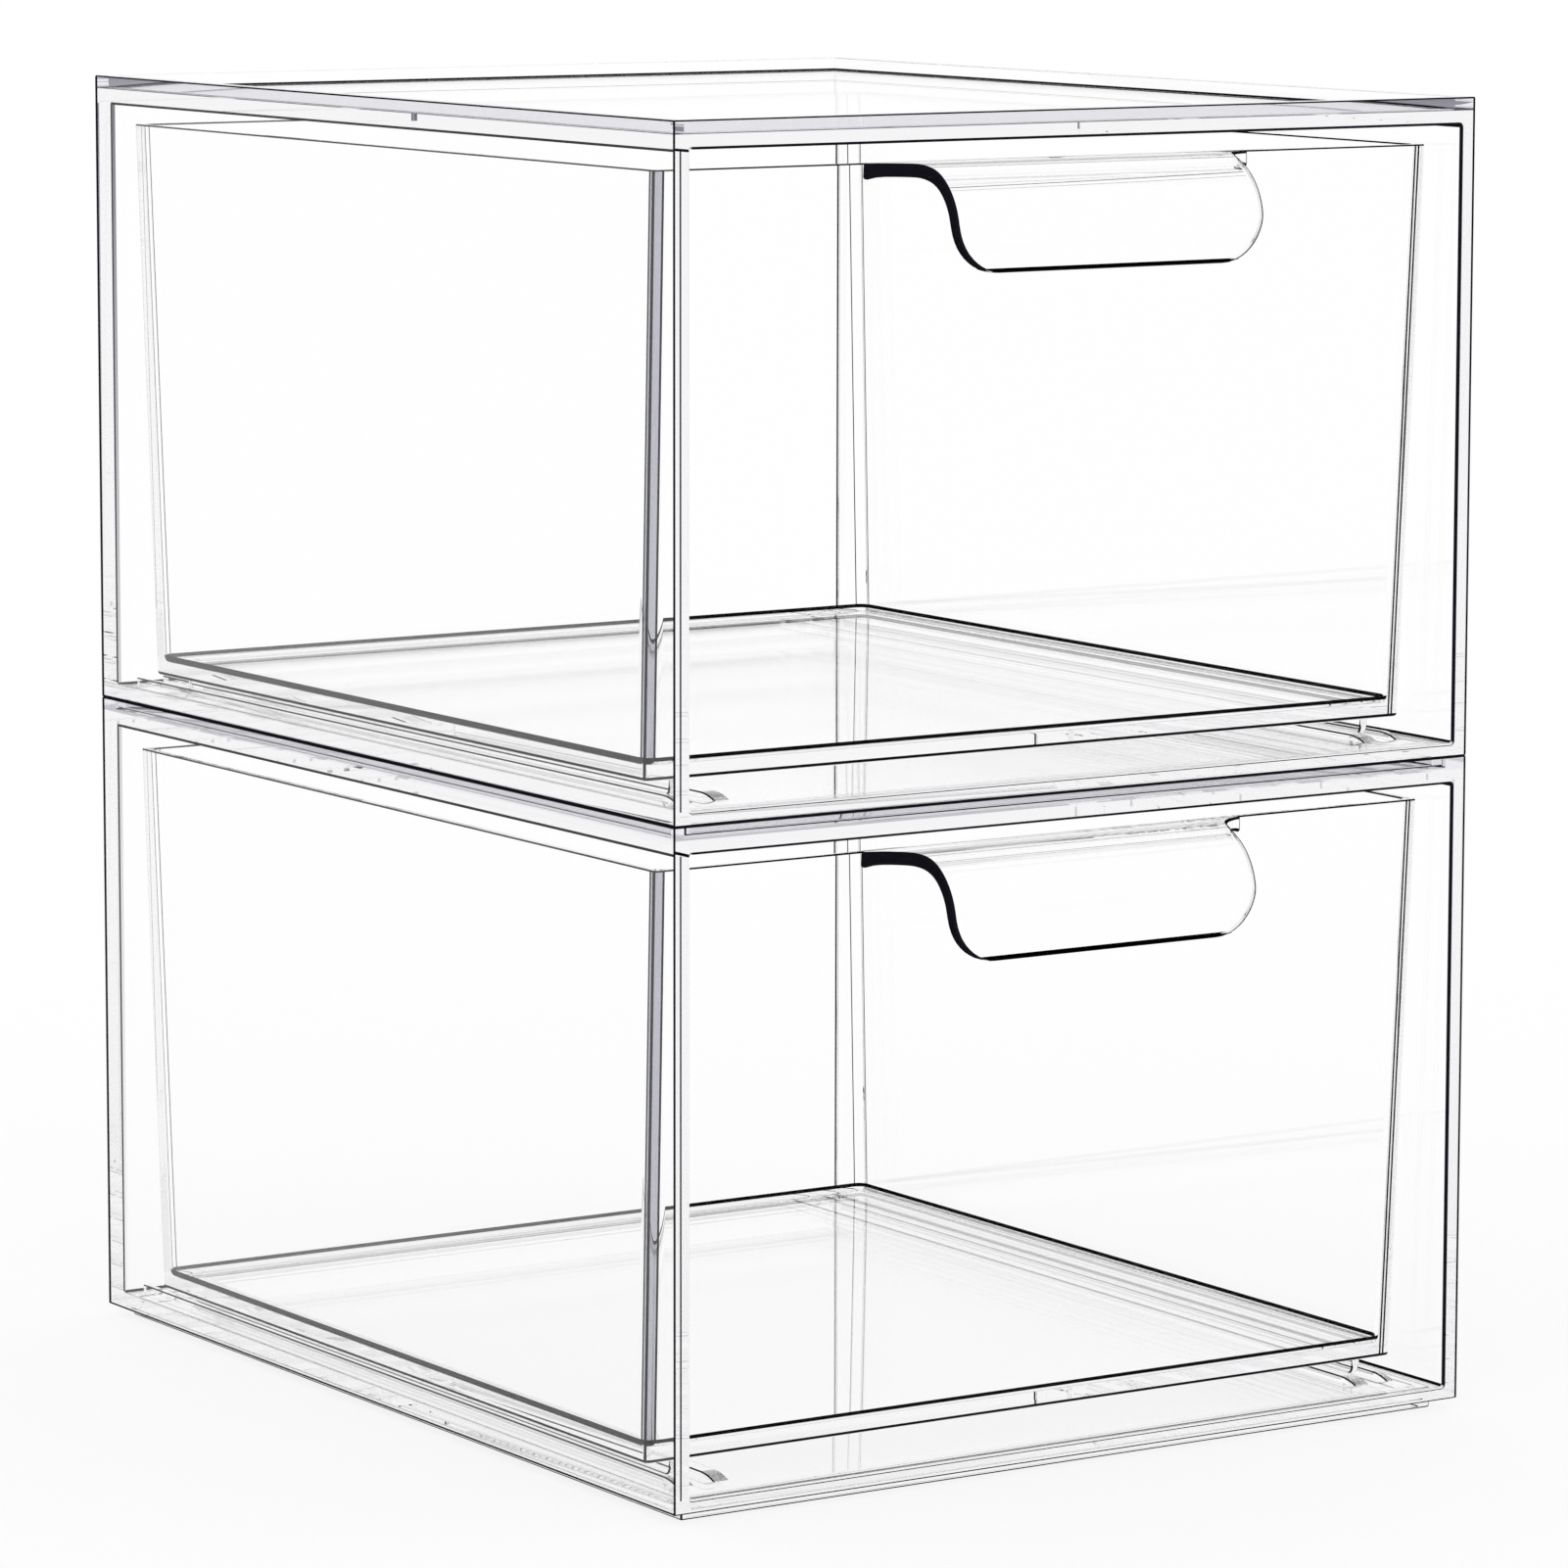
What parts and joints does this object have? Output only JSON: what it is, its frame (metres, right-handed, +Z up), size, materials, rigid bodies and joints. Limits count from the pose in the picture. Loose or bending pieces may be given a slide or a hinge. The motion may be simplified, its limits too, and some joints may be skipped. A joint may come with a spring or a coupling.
{
  "type": "stackable storage drawer",
  "caption": "Clear open-fronted cases stacked on locating rims, each holding a tapered drawer that slides out on a curled handle lip.",
  "frame": {"origin": "centre of the stack's footprint, handle lips included, on the surface that it stands on", "axes": "+Z up, +X to the right seen from the open front, drawers pull out along -Y"},
  "size_m": [0.1564, 0.1976, 0.2214],
  "materials": {
    "clear_case": "clear polished moulding",
    "clear_drawer": "clear polished moulding"
  },
  "bodies": {
    "lower_case": {"lower_case": "clear_case"},
    "lower_drawer": {"lower_drawer": "clear_drawer"},
    "upper_case": {"upper_case": "clear_case"},
    "upper_drawer": {"upper_drawer": "clear_drawer"}
  },
  "joints": [
    {"name": "lower_drawer_slide", "type": "slide", "parent": "lower_case", "child": "lower_drawer", "axis": [0, -1, 0], "range_m": [-0.0065, 0.14]},
    {"name": "upper_unit_lift", "type": "slide", "parent": "lower_case", "child": "upper_case", "axis": [0, 0, 1], "range_m": [0, 0.04]},
    {"name": "upper_drawer_slide", "type": "slide", "parent": "upper_case", "child": "upper_drawer", "axis": [0, -1, 0], "range_m": [-0.0065, 0.14]}
  ]
}
